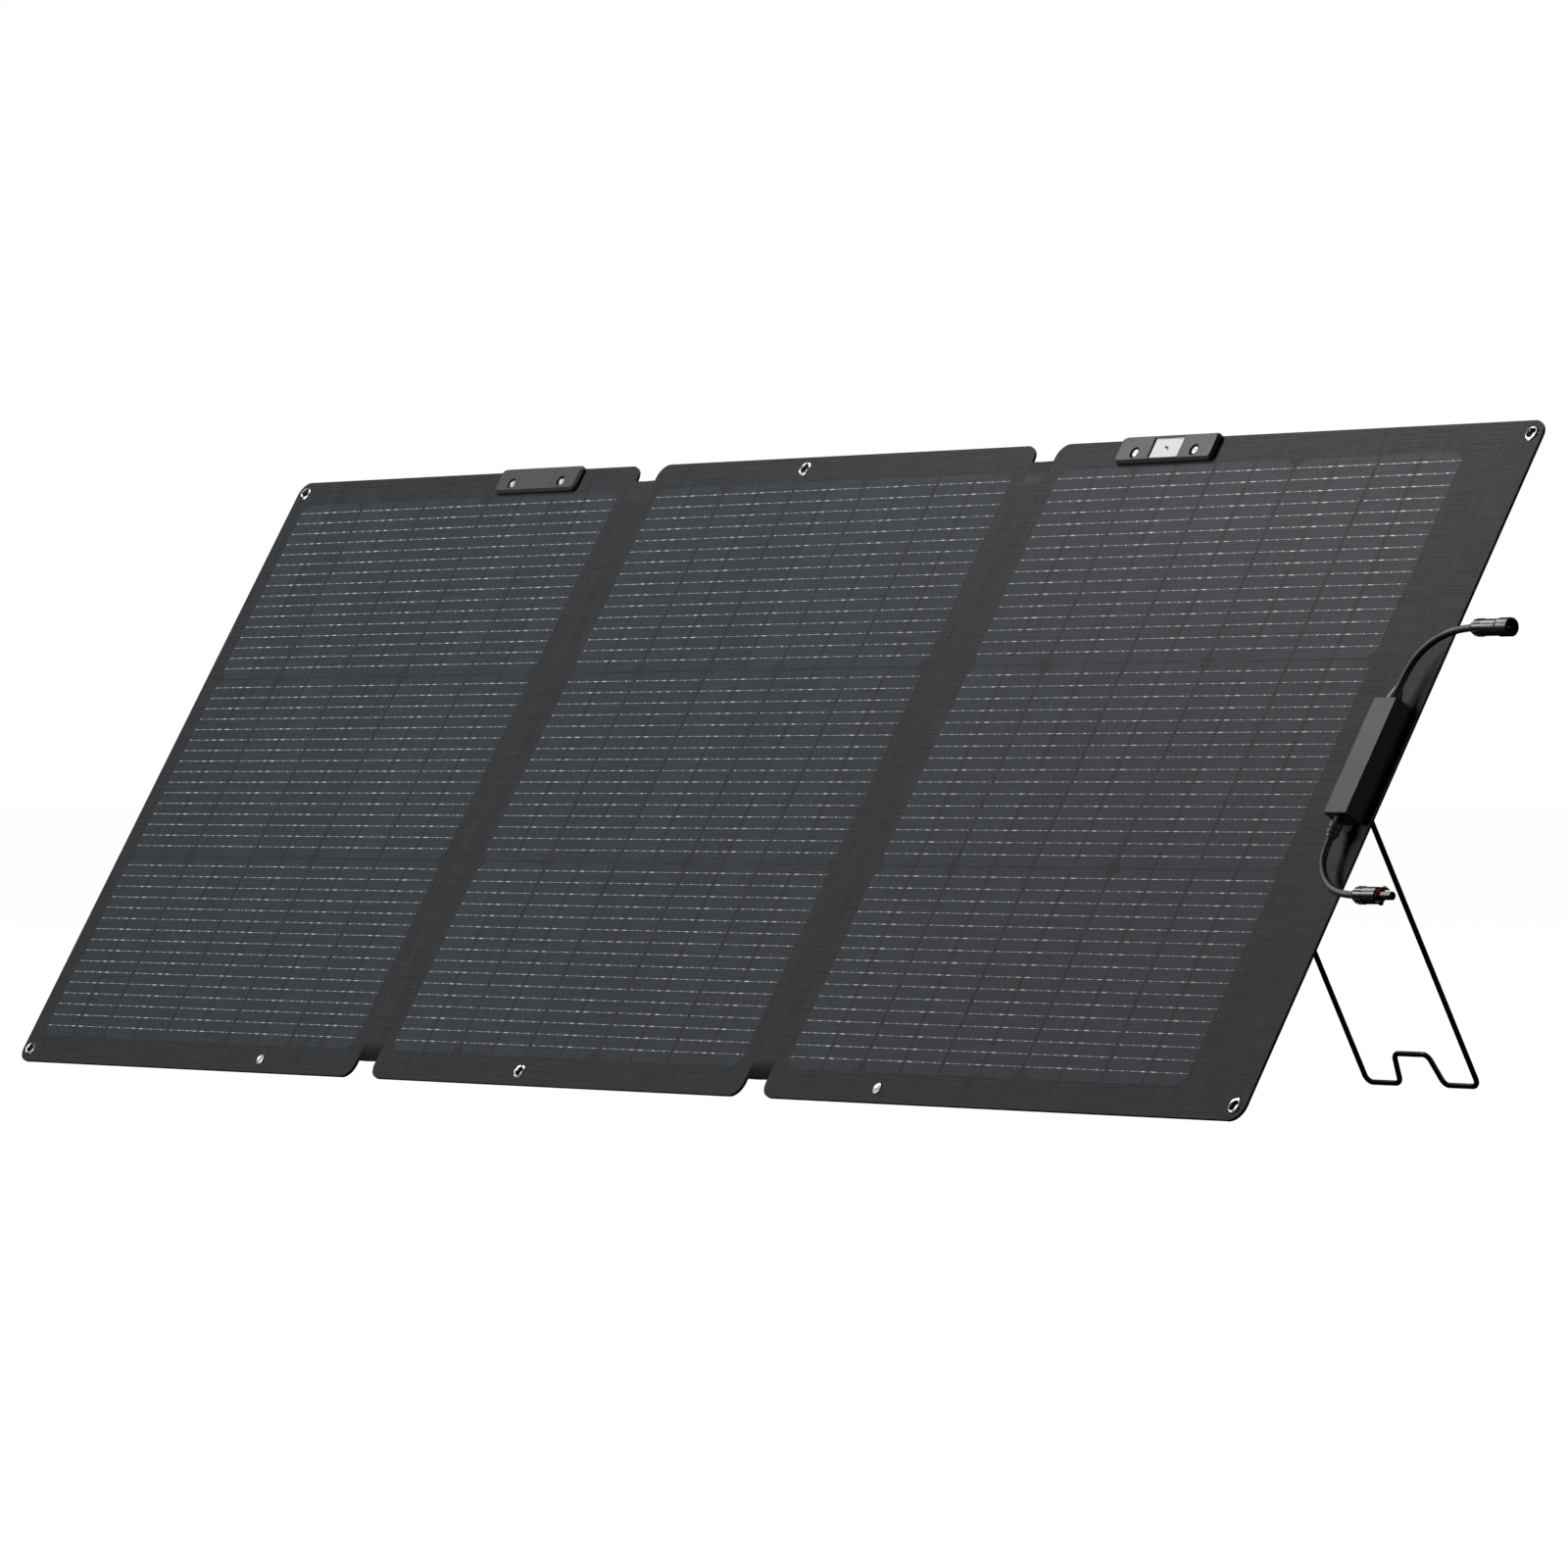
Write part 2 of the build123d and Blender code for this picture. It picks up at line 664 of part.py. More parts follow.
def junction_cover():
    low = BOX_BASE + GASKET
    cover = box_block(0, (low, BOX_HEIGHT))
    cover = chamfer(cover.edges().group_by(Axis.Z)[-1], BOX_BEVEL)
    cover -= box_block(BOX_WALL, (low - 1, BOX_HEIGHT - BOX_WALL))
    for which, y in (("upper", BOX_TOP), ("lower", BOX_BOTTOM)):
        hole = Rot(X=90) * Cylinder(GLAND_NECK_RADIUS, 4 * BOX_WALL)
        cover -= Pos(lead_x(which), y, LEAD_HEIGHT) * hole
    return cover


def circuit_top():
    return BOARD_STANDOFF + CIRCUIT


def terminal_heights():
    return (BOX_BOTTOM + TERMINAL_FROM_END, BOX_TOP - TERMINAL_FROM_END)


def terminals():
    """Blocks that the lead cores enter, one near each end."""
    made = []
    for which, y in zip(("lower", "upper"), terminal_heights()):
        x = lead_x(which)
        z = (circuit_top(), LEAD_HEIGHT + TERMINAL / 2)
        made.append(block((x - TERMINAL / 2, x + TERMINAL / 2), (y - TERMINAL, y + TERMINAL), z))
    return made


def save_junction_box():
    base = box_block(0, (0, BOX_BASE)) - box_block(BOX_WALL, (BOX_FLOOR, BOX_BASE + 1))
    clear = BOX_WALL + CIRCUIT_INSET
    for sx in (-1, 1):
        for sy in (-1, 1):
            x = BOX_CENTRE + sx * (BOX_WIDTH / 2 - clear - 2)
            y = BOX_CENTRE_HEIGHT + sy * (BOX_LENGTH / 2 - clear - 4)
            base += rod(x, y, (BOX_FLOOR / 2, BOARD_STANDOFF), 1.6)
    save("junction_base", base)
    gasket = box_block(0.3, (BOX_BASE, BOX_BASE + GASKET))
    save("junction_gasket", gasket - box_block(BOX_WALL, (BOX_BASE - 1, BOX_BASE + 2)))
    save("junction_cover", junction_cover())
    save("circuit_board", box_block(clear, (BOARD_STANDOFF, circuit_top())))
    width, length, thick = DIODE_SIZE
    diodes = []
    for y in (BOX_CENTRE_HEIGHT - DIODE_OFFSET, BOX_CENTRE_HEIGHT + DIODE_OFFSET):
        across = (BOX_CENTRE - width / 2, BOX_CENTRE + width / 2)
        z = (circuit_top(), circuit_top() + thick)
        diodes.append(block(across, (y - length / 2, y + length / 2), z))
    save("bypass_diodes", *diodes)
    save("terminal_blocks", *terminals())


def gland(profile, which):
    """A gland turned about the lead's axis, from (distance from the box's end, radius)."""
    solid = turned_along(profile)
    length = profile_end(profile)
    mouth = Cylinder(LEAD_DIAMETER / 2 + LEAD_CLEARANCE, SOCKET_DEPTH)
    solid -= Pos(length - SOCKET_DEPTH / 2, 0, 0) * (Rot(Y=90) * mouth)
    solid -= Rot(Y=90) * Cylinder(CORE_RADIUS + LEAD_CLEARANCE, 4 * length)
    turn, y = (90, BOX_TOP) if which == "upper" else (-90, BOX_BOTTOM)
    return Pos(lead_x(which), y, LEAD_HEIGHT) * (Rot(Z=turn) * solid)


def profile_end(profile):
    return max(x for x, _ in profile)


def upper_gland():
    length = UPPER_GLAND_LENGTH
    neck, radius = GLAND_NECK_RADIUS, UPPER_GLAND_RADIUS
    profile = [
        (-BOX_WALL, 0),
        (-BOX_WALL, neck),
        (0, neck),
        (0, radius),
        (2.5, radius - 0.2),
        (length, neck),
        (length, 0),
    ]
    return gland(profile, "upper")


def lower_gland():
    """A capped gland with two raised rings."""
    length = LOWER_GLAND_LENGTH
    neck, radius = GLAND_NECK_RADIUS, LOWER_GLAND_RADIUS
    profile = [
        (-BOX_WALL, 0),
        (-BOX_WALL, neck),
        (4.0, neck),
        (5.2, radius),
        (9.6, radius),
        (9.9, radius - 0.9),
        (10.8, radius - 0.9),
        (11.1, radius),
        (14.0, radius - 0.2),
        (14.3, radius - 0.9),
        (15.0, radius - 0.9),
        (length, neck),
        (length, 0),
    ]
    return gland(profile, "lower")


def mouth_point(which):
    """Where a lead starts: the bottom of its gland's socket."""
    if which == "upper":
        return lead_x(which), BOX_TOP + UPPER_GLAND_LENGTH - SOCKET_DEPTH
    return lead_x(which), BOX_BOTTOM - LOWER_GLAND_LENGTH + SOCKET_DEPTH


def route_points(which):
    """A lead's route. The bends are counted from the gland's mouth, past the socket."""
    x, start = mouth_point(which)
    mouth = start + (SOCKET_DEPTH if which == "upper" else -SOCKET_DEPTH)
    bends = UPPER_BENDS if which == "upper" else LOWER_BENDS
    points = [(x, start)] + [(x + dx, mouth + dy) for dx, dy in bends]
    return [Vector(px, py, LEAD_HEIGHT) for px, py in points]


def lead(which):
    """The tube of one lead, with arcs as large as its runs allow."""
    points = route_points(which)
    radii = []
    for before, here, after in zip(points, points[1:], points[2:]):
        shorter = min((here - before).length, (after - here).length)
        turn = math.radians((here - before).get_angle(after - here))
        radii.append(0.45 * shorter / math.tan(turn / 2))
    path = FilletPolyline(*points, radius=radii)
    section = Plane(origin=path @ 0, z_dir=path % 0) * Circle(LEAD_DIAMETER / 2)
    tube = sweep(section, path=path)
    expected = math.pi * (LEAD_DIAMETER / 2) ** 2 * path.length
    print(which, "lead length", round(path.length, 1), "radii", [round(r, 1) for r in radii])
    print(which, "lead volume over section times length", round(tube.volume / expected, 4))
    return tube


def lead_core(which):
    """The bare core from the terminal to where the sheath starts."""
    x, start = mouth_point(which)
    lower, upper = terminal_heights()
    terminal = upper + TERMINAL if which == "upper" else lower - TERMINAL
    length = abs(start - terminal)
    core = Rot(X=90) * Cylinder(CORE_RADIUS, length)
    return Pos(x, (start + terminal) / 2, LEAD_HEIGHT) * core


def save_leads():
    save("upper_gland", upper_gland())
    save("lower_gland", lower_gland())
    save("lead_cores", lead_core("upper"), lead_core("lower"))
    save("upper_lead", lead("upper"))
    save("lower_lead", lead("lower"))


# ---- connectors ----
def at_lead_end(which, solid):
    """Put a connector, drawn along X from its cable end, on the end of its lead."""
    end = route_points(which)[-1]
    return Pos(end.X - CABLE_IN_NUT, end.Y, end.Z) * solid


def cable_nut():
    """A ribbed gland nut with a cone at the cable end."""
    profile = [
        (0, 0),
        (0, NUT_MOUTH_RADIUS),
        (NUT_CONE, NUT_RADIUS),
        (NUT_LENGTH, NUT_RADIUS),
        (NUT_LENGTH, 0),
    ]
    nut = turned_along(profile)
    rib_start = NUT_CONE + 1
    rib = block(
        (rib_start, NUT_LENGTH - 1.2), (NUT_RADIUS - 0.5, NUT_RADIUS + NUT_RIB), (-0.6, 0.6)
    )
    for index in range(NUT_RIBS):
        nut += Rot(X=index * 360 / NUT_RIBS) * rib
    nut -= hole_along((-1, CABLE_IN_NUT), LEAD_DIAMETER / 2 + LEAD_CLEARANCE)
    return nut - hole_along((CABLE_IN_NUT + 0.8, NUT_LENGTH + 1), TAIL_RADIUS + TAIL_CLEARANCE)


def hole_along(x, radius):
    return Pos((x[0] + x[1]) / 2, 0, 0) * (Rot(Y=90) * Cylinder(radius, x[1] - x[0]))


def socket_body():
    """A barrel with an open collar, which has a slot above and below for the plug's latches."""
    tail, body, collar = TAIL_RADIUS, BODY_RADIUS, SOCKET_COLLAR_RADIUS
    profile = [
        (TAIL_START, 0),
        (TAIL_START, tail),
        (BODY_START, tail),
        (BODY_START, body),
        (SOCKET_COLLAR_START - 2.5, body),
        (SOCKET_COLLAR_START, collar),
        (SOCKET_LENGTH - 0.8, collar),
        (SOCKET_LENGTH, collar - 0.8),
        (SOCKET_LENGTH, 0),
    ]
    solid = turned_along(profile)
    solid -= hole_along((SOCKET_LENGTH - SOCKET_BORE_DEPTH, SOCKET_LENGTH + 1), SOCKET_BORE_RADIUS)
    solid -= hole_along((TAIL_START - 1, SOCKET_LENGTH), CONTACT_HOLE_RADIUS)
    length, width = SOCKET_SLOT
    start = SOCKET_COLLAR_START + 2
    for sign in (-1, 1):
        reach = sorted((sign * (SOCKET_BORE_RADIUS + 0.9), sign * (collar + 1)))
        solid -= block((start, start + length), reach, (-width / 2, width / 2))
    return solid


def plug_body():
    """A barrel that steps down to the sleeve that enters a socket."""
    tail, body, sleeve = TAIL_RADIUS, BODY_RADIUS, SLEEVE_RADIUS
    profile = [
        (TAIL_START, 0),
        (TAIL_START, tail),
        (BODY_START, tail),
        (BODY_START, body),
        (PLUG_BODY_END - 0.6, body),
        (PLUG_BODY_END, body - 0.6),
        (PLUG_BODY_END, sleeve),
        (PLUG_LENGTH - 0.6, sleeve),
        (PLUG_LENGTH, sleeve - 0.6),
        (PLUG_LENGTH, 0),
    ]
    solid = turned_along(profile)
    return solid - hole_along((TAIL_START - 1, PLUG_LENGTH + 1), CONTACT_HOLE_RADIUS)


def plug_contact():
    """A tube that carries the current, open at its front end."""
    start, end = CONTACT_START, PLUG_LENGTH - CONTACT_RECESS
    tube = turned_along([(start, 0), (start, CONTACT_RADIUS), (end, CONTACT_RADIUS), (end, 0)])
    return tube - hole_along((end - CONTACT_DEPTH, end + 1), CONTACT_RADIUS - CONTACT_WALL)


def socket_contact():
    """A pin that enters a plug's contact, on a thicker root."""
    floor = SOCKET_LENGTH - SOCKET_BORE_DEPTH
    end = SOCKET_LENGTH - CONTACT_RECESS
    tip = CONTACT_RADIUS - CONTACT_WALL - CONTACT_CLEARANCE
    profile = [
        (CONTACT_START, 0),
        (CONTACT_START, CONTACT_RADIUS),
        (floor, CONTACT_RADIUS),
        (floor, tip),
        (end - tip / 2, tip),
        (end, tip / 2),
        (end, 0),
    ]
    return turned_along(profile)


def plug_seal():
    start, end = PLUG_BODY_END, PLUG_BODY_END + SEAL_WIDTH
    inner, outer = SLEEVE_RADIUS, SEAL_RADIUS
    profile = [
        (start, inner),
        (start, outer - 0.5),
        (start + 0.5, outer),
        (end - 0.5, outer),
        (end, outer - 0.5),
        (end, inner),
    ]
    return turned_along(profile)


def latch(sign):
    """One of the plug's two press-in arms, with a barb at its tip."""
    root, tip = PLUG_BODY_END + LATCH_ROOT_GAP, LATCH_TIP
    barb = LATCH_OUTER + LATCH_BARB
    points = [
        (root, LATCH_INNER),
        (tip, LATCH_INNER),
        (tip, LATCH_OUTER - 0.4),
        (tip - 2.4, barb),
        (tip - 3.2, barb),
        (tip - 3.2, LATCH_OUTER),
        (root, LATCH_OUTER),
    ]
    face = make_face(Polyline(*[(x, y, 0) for x, y in points], close=True))
    arm = Pos(0, 0, -LATCH_WIDTH / 2) * extrude(face, LATCH_WIDTH)
    return arm if sign > 0 else Rot(X=180) * arm


def save_connectors():
    upper, lower = "upper", "lower"
    save("cable_nuts", at_lead_end(upper, cable_nut()), at_lead_end(lower, cable_nut()))
    save("socket_body", at_lead_end(upper, socket_body()))
    save("plug_body", at_lead_end(lower, plug_body()))
    save(
        "connector_contacts",
        at_lead_end(upper, socket_contact()),
        at_lead_end(lower, plug_contact()),
    )
    save("plug_seal", at_lead_end(lower, plug_seal()))
    save("plug_latch_upper", at_lead_end(lower, latch(1)))
    save("plug_latch_lower", at_lead_end(lower, latch(-1)))


def main():
    os.makedirs("parts", exist_ok=True)
    for side in PANELS:
        save_laminate(side)
        save_eyelets(side)
    save_folds()
    save_plates()
    save_stands()
    save_junction_box()
    save_leads()
    save_connectors()
    print("leg length", round(LEG_LENGTH, 2), "ground", round(GROUND, 3))
    print("row origin", round(TOTAL_WIDTH / 2, 3), round(CENTRE_Y, 3))


main()
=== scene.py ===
"""The looks of a folding solar panel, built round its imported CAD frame.

Lengths are in metres. Shapes on the panels are worked out in the flat frame instead, in
millimetres: X runs along the three panels from the left edge, Y runs up the face from the
bottom edge, and Z comes out of the front face, which is at Z = 0.
"""

import bpy
import bmesh
import json
import math
import random
from mathutils import Matrix, Vector


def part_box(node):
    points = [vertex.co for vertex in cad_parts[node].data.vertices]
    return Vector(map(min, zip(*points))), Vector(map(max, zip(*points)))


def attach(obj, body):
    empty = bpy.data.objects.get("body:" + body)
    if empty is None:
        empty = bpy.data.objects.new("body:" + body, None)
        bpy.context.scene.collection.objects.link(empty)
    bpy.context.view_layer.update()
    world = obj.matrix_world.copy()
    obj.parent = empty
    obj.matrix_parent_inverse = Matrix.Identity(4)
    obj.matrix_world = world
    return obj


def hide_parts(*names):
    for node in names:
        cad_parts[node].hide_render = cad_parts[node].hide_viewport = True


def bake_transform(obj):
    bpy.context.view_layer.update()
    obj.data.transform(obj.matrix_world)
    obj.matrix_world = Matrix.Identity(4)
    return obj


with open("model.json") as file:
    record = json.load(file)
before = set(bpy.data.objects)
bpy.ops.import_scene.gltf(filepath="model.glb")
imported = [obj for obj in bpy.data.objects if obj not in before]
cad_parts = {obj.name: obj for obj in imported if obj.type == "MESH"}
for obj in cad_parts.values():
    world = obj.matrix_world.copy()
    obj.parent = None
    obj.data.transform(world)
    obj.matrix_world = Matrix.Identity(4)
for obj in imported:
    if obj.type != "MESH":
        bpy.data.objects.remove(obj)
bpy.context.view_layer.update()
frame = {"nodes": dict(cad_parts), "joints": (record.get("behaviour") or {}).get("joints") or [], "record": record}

MM = 0.001
SIDES = ("left", "middle", "right")
random.seed(7)

# ---- sizes shared with the CAD, in millimetres ----
FILM = 0.4
FOLD_THICKNESS = 1.0
COLUMNS = 10
ROWS = 3
COLUMN_GAP = 2.3
ROW_GAP = 1.0
CELL_CHAMFER = 8.0
CUT_NEAR = (0, 2, 6)
CUT_FAR = (1, 5, 9)
WIRES_PER_ROW = 16
FIRST_WIRE = 8.3
LAST_WIRE = 10.65
LEAD_DIAMETER = 5.5
SOCKET_DEPTH = 5.0
UPPER_BENDS = [(0, 13), (5, 30.5), (18.5, 44), (39, 51.6), (57.3, 51.6)]
LOWER_BENDS = [(0, -11), (5.5, -26), (20.5, -40.5), (40, -47.7), (59.1, -47.7)]

# ---- the viewpoint, in metres from the panels' lower left corner ----
CAMERA_PLACE = (6.1034, -3.8753, 0.2431)
CAMERA_AIM = (-0.79044, 0.61254, 0.0)
CAMERA_LENS = 187.54
CAMERA_SENSOR = 36.0

# ---- the studio: the backdrop's colour, and in metres its size and what the lamps aim at ----
BACKDROP = (1, 1, 0.985, 1)
FLOOR_HALF = 60.0
STUDIO_CENTRE = (0.1, 0, 0.25)

# ---- relief of what shows through the film, above its face, in millimetres ----
CELL_RELIEF = 0.08
WIRE_RELIEF = 0.17
PAD_RELIEF = 0.2
WIRE_WIDTH = 0.55
WIRE_END = 2.0
WIRE_BREAK = 2.4
WIRE_NICK = 0.8
PAD_WIDTH = 1.0
PAD_SHIFT = 0.5
CELL_BEVEL = 0.15

# ---- fine patterns: the pitch of their threads or lines, in millimetres ----
WEAVE_ACROSS = 2.85
WEAVE_UP = 1.9
FINGER_PITCH = 1.7
BACK_THREAD = 1.1
BOARD_THREAD = 0.9

# ---- soft folds: their mesh, and how far they sag and lap the panels, in millimetres ----
FOLD_COLUMNS = 30
FOLD_ROWS = 24
FOLD_SAG = 0.5
FOLD_LAP = 0.2

# ---- moulded edges, in millimetres and degrees ----
SOFT_EDGE = 0.35
SHARP_ANGLE = 35
WELD_DISTANCE = 0.01


# ---- the flat frame ----
def slope_angle():
    """The panels' lean, from the fold's axis, which runs up the slope."""
    fold = next(joint for joint in frame["joints"] if joint["name"] == "left_fold")
    return math.atan2(fold["axis"][2], fold["axis"][1])


def flat_frame():
    """The matrix from flat millimetres to the row frame."""
    low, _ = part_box("left_front_film")
    corner = Vector((low.x, low.y, low.z + FILM * MM * math.cos(TILT)))
    return Matrix.Translation(corner) @ Matrix.Rotation(TILT, 4, "X") @ Matrix.Scale(MM, 4)


TILT = slope_angle()
FLAT = flat_frame()
CORNER = FLAT.translation.copy()


def flat_box(node):
    """A CAD node's lowest and highest corners in the flat frame, in millimetres."""
    back = FLAT.inverted()
    points = [back @ vertex.co for vertex in frame["nodes"][node].data.vertices]
    low = Vector([min(p[axis] for p in points) for axis in range(3)])
    high = Vector([max(p[axis] for p in points) for axis in range(3)])
    return low, high


def to_row(x, y, z):
    return FLAT @ Vector((x, y, z))


# ---- camera, light and stage ----
def add_camera():
    data = bpy.data.cameras.new("camera")
    data.lens = CAMERA_LENS
    data.sensor_width = CAMERA_SENSOR
    data.clip_end = 200.0
    camera = bpy.data.objects.new("camera", data)
    bpy.context.collection.objects.link(camera)
    camera.location = CORNER + Vector(CAMERA_PLACE)
    camera.rotation_mode = "QUATERNION"
    camera.rotation_quaternion = Vector(CAMERA_AIM).to_track_quat("-Z", "Y")
    bpy.context.scene.camera = camera


def add_area_light(name, place, target, size, power):
    data = bpy.data.lights.new(name, "AREA")
    data.shape = "DISK"
    data.size = size
    data.energy = power
    light = bpy.data.objects.new(name, data)
    bpy.context.collection.objects.link(light)
    light.location = place
    aim = Vector(target) - Vector(place)
    light.rotation_mode = "QUATERNION"
    light.rotation_quaternion = aim.to_track_quat("-Z", "Y")


def add_world():
    """A white backdrop, seen by the camera but hidden from diffuse and glossy rays; the lamps give the light."""
    world = bpy.data.worlds.new("studio")
    bpy.context.scene.world = world
    world.use_nodes = True
    shader = world.node_tree.nodes["Background"]
    shader.inputs["Color"].default_value = BACKDROP
    shader.inputs["Strength"].default_value = 1.0
    world.cycles_visibility.diffuse = False
    world.cycles_visibility.glossy = False


def add_floor():
    """A white floor, bright enough to meet the backdrop without a line."""
    mesh = bpy.data.meshes.new("floor")
    half = FLOOR_HALF
    mesh.from_pydata([(-half, -half, 0), (half, -half, 0), (half, half, 0), (-half, half, 0)],
                     [], [(0, 1, 2, 3)])
    floor = bpy.data.objects.new("floor", mesh)
    bpy.context.collection.objects.link(floor)
    floor.visible_diffuse = False
    floor.visible_glossy = False
    material = bpy.data.materials.new("pale_floor")
    material.use_nodes = True
    shader = material.node_tree.nodes["Principled BSDF"]
    shader.inputs["Base Color"].default_value = (0.1, 0.1, 0.1, 1)
    shader.inputs["Roughness"].default_value = 1.0
    shader.inputs["Specular IOR Level"].default_value = 0.0
    shader.inputs["Emission Color"].default_value = BACKDROP
    shader.inputs["Emission Strength"].default_value = 0.99
    mesh.materials.append(material)


def add_studio():
    """A key in front on the left, a small light above, and fills in front, behind and right."""
    add_world()
    add_floor()
    add_area_light("key", (-2.6, -3.1, 2.1), STUDIO_CENTRE, 1.5, 104)
    add_area_light("near_top", (-0.8, -0.35, 1.9), (0.1, 0.1, 0.4), 0.8, 22)
    add_area_light("front_fill", (4.5, -6.0, 1.2), STUDIO_CENTRE, 3.0, 9)
    add_area_light("back_fill", (-1.5, 5.5, 3.5), STUDIO_CENTRE, 4.0, 90)
    add_area_light("right_fill", (6.5, 2.5, 2.5), STUDIO_CENTRE, 3.0, 26)
    bpy.context.scene.view_settings.view_transform = "Standard"


# ---- materials ----
class Paint:
    """A material with a Principled shader, built up node by node."""

    def __init__(self, name, colour, rough, metallic=0.0, specular=0.35):
        self.material = bpy.data.materials.new(name)
        self.material.use_nodes = True
        self.tree = self.material.node_tree
        self.shader = self.tree.nodes["Principled BSDF"]
        self.colour = colour
        self.shader.inputs["Base Color"].default_value = (*colour, 1)
        self.shader.inputs["Roughness"].default_value = rough
        self.shader.inputs["Metallic"].default_value = metallic
        self.shader.inputs["Specular IOR Level"].default_value = specular

    def add(self, kind, inputs=None, **settings):
        node = self.tree.nodes.new("ShaderNode" + kind)
        for key, value in settings.items():
            setattr(node, key, value)
        for key, value in (inputs or {}).items():
            self.plug(node.inputs[key], value)
        return node

    def plug(self, socket, value):
        if isinstance(value, bpy.types.NodeSocket):
            self.tree.links.new(value, socket)
        else:
            socket.default_value = value

    def math(self, operation, first, second=0.0):
        return self.add("Math", {0: first, 1: second}, operation=operation).outputs[0]

    def flat(self):
        """Flat millimetres from the mesh's own coordinates."""
        coordinates = self.add("TexCoord").outputs["Object"]
        mapping = self.add("Mapping", {"Vector": coordinates}, vector_type="TEXTURE")
        mapping.inputs["Location"].default_value = CORNER
        mapping.inputs["Rotation"].default_value = (TILT, 0, 0)
        mapping.inputs["Scale"].default_value = (MM, MM, MM)
        return mapping.outputs["Vector"]

    def flat_uv(self):
        """Flat millimetres from a mesh that bends, stored as its UV map."""
        return self.add("UVMap", uv_map="flat").outputs["UV"]

    def stretch(self, vector, x, y, z=1.0):
        node = self.add("VectorMath", {0: vector, 1: (x, y, z)}, operation="MULTIPLY")
        return node.outputs[0]

    def noise(self, vector, scale=1.0, detail=2.0):
        inputs = {"Vector": vector, "Scale": scale, "Detail": detail}
        return self.add("TexNoise", inputs).outputs[0]

    def spread(self, value, low, high, to_low=0.0, to_high=1.0):
        inputs = {0: value, 1: low, 2: high, 3: to_low, 4: to_high}
        return self.add("MapRange", inputs).outputs["Result"]

    def shade(self, factor, dark=0.75, light=1.25):
        """Vary the colour between darker and lighter, with factor from 0 to 1."""
        low = tuple(c * dark for c in self.colour) + (1,)
        high = tuple(min(1.0, c * light) for c in self.colour) + (1,)
        return self.blend_colours(factor, low, high)

    def blend_colours(self, factor, low, high):
        mix = self.add("MixRGB", {"Fac": factor, "Color1": low, "Color2": high})
        self.plug(self.shader.inputs["Base Color"], mix.outputs["Color"])
        return mix.outputs["Color"]

    def set_rough(self, factor, low, high):
        self.plug(self.shader.inputs["Roughness"], self.spread(factor, 0, 1, low, high))

    def bump(self, height, depth_mm, strength=1.0):
        """A bump whose full height is so many millimetres."""
        node = self.add("Bump", {"Height": height, "Strength": strength,
                                 "Distance": depth_mm * MM})
        self.plug(self.shader.inputs["Normal"], node.outputs["Normal"])


def linen(paint, place):
    """The embossed film: a fine square grid of threads. Gives its height and its tone."""
    parts = paint.add("SeparateXYZ", {0: place})
    wander = paint.noise(paint.stretch(place, 0.05, 0.05), detail=2)
    ridges = []
    for axis, pitch in ((0, WEAVE_ACROSS), (1, WEAVE_UP)):
        drift = paint.math("MULTIPLY", wander, 1.5)
        turn = paint.math("MULTIPLY", parts.outputs[axis], 2 * math.pi / pitch)
        wave = paint.math("SINE", paint.math("ADD", turn, drift))
        ridges.append(paint.spread(wave, -0.9, 0.7))
    weave = paint.math("MULTIPLY", *ridges)
    up_thread = paint.noise(paint.stretch(place, 0.5, 0.02), detail=1)
    side_thread = paint.noise(paint.stretch(place, 0.02, 0.5), detail=1)
    uneven = paint.spread(paint.math("ADD", up_thread, side_thread), 0.7, 1.3)
    tone = paint.math("ADD", paint.math("MULTIPLY", weave, 0.72),
                      paint.math("MULTIPLY", uneven, 0.28))
    return weave, tone


def painted_edge_highlight_mask(paint):
    """1 on the cut edges of a panel's layer, and 0 on its flat faces: the mask of a painted highlight."""
    normal = paint.add("NewGeometry").outputs["Normal"]
    local = paint.add("VectorTransform", {0: normal}, vector_type="NORMAL",
                      convert_from="WORLD", convert_to="OBJECT").outputs[0]
    out = (FLAT.to_3x3() @ Vector((0, 0, 1))).normalized()
    facing = paint.add("VectorMath", {0: local, 1: out}, operation="DOT_PRODUCT")
    level = paint.math("ABSOLUTE", facing.outputs["Value"])
    return paint.spread(level, 0.75, 0.45)


def film_material(name, bends=False):
    """The dark embossed film where there is no cell behind it, with a painted highlight along its cut edges."""
    paint = Paint(name, (0.03, 0.031, 0.0325), 0.55, specular=0.12)
    height, tone = linen(paint, paint.flat_uv() if bends else paint.flat())
    body = paint.shade(tone, 0.3, 2.1)
    if not bends:
        # painted highlight: the film's cut edges are blended to pale grey, as if they caught the light
        paint.blend_colours(painted_edge_highlight_mask(paint), body, (0.42, 0.43, 0.44, 1))
    paint.set_rough(tone, 0.62, 0.48)
    paint.bump(height, 0.05, 0.6)
    return paint.material


def cell_material():
    """A dark blue-grey cell under the film, with its fine finger lines."""
    paint = Paint("cell_face", (0.038, 0.045, 0.055), 0.5, specular=0.12)
    place = paint.flat()
    height, tone = linen(paint, place)
    own = paint.add("Attribute", attribute_name="tone").outputs["Fac"]
    parts = paint.add("SeparateXYZ", {0: place})
    turn = paint.math("MULTIPLY", parts.outputs[0], 2 * math.pi / FINGER_PITCH)
    finger = paint.spread(paint.math("SINE", turn), 0.8, 1.0, 0.0, 0.3)
    mixed = paint.math("ADD", paint.math("MULTIPLY", tone, 0.8), finger)
    factor = paint.math("ADD", mixed, paint.math("MULTIPLY", own, 0.08))
    paint.shade(factor, 0.42, 1.75)
    paint.set_rough(tone, 0.58, 0.42)
    paint.bump(height, 0.045, 0.6)
    return paint.material


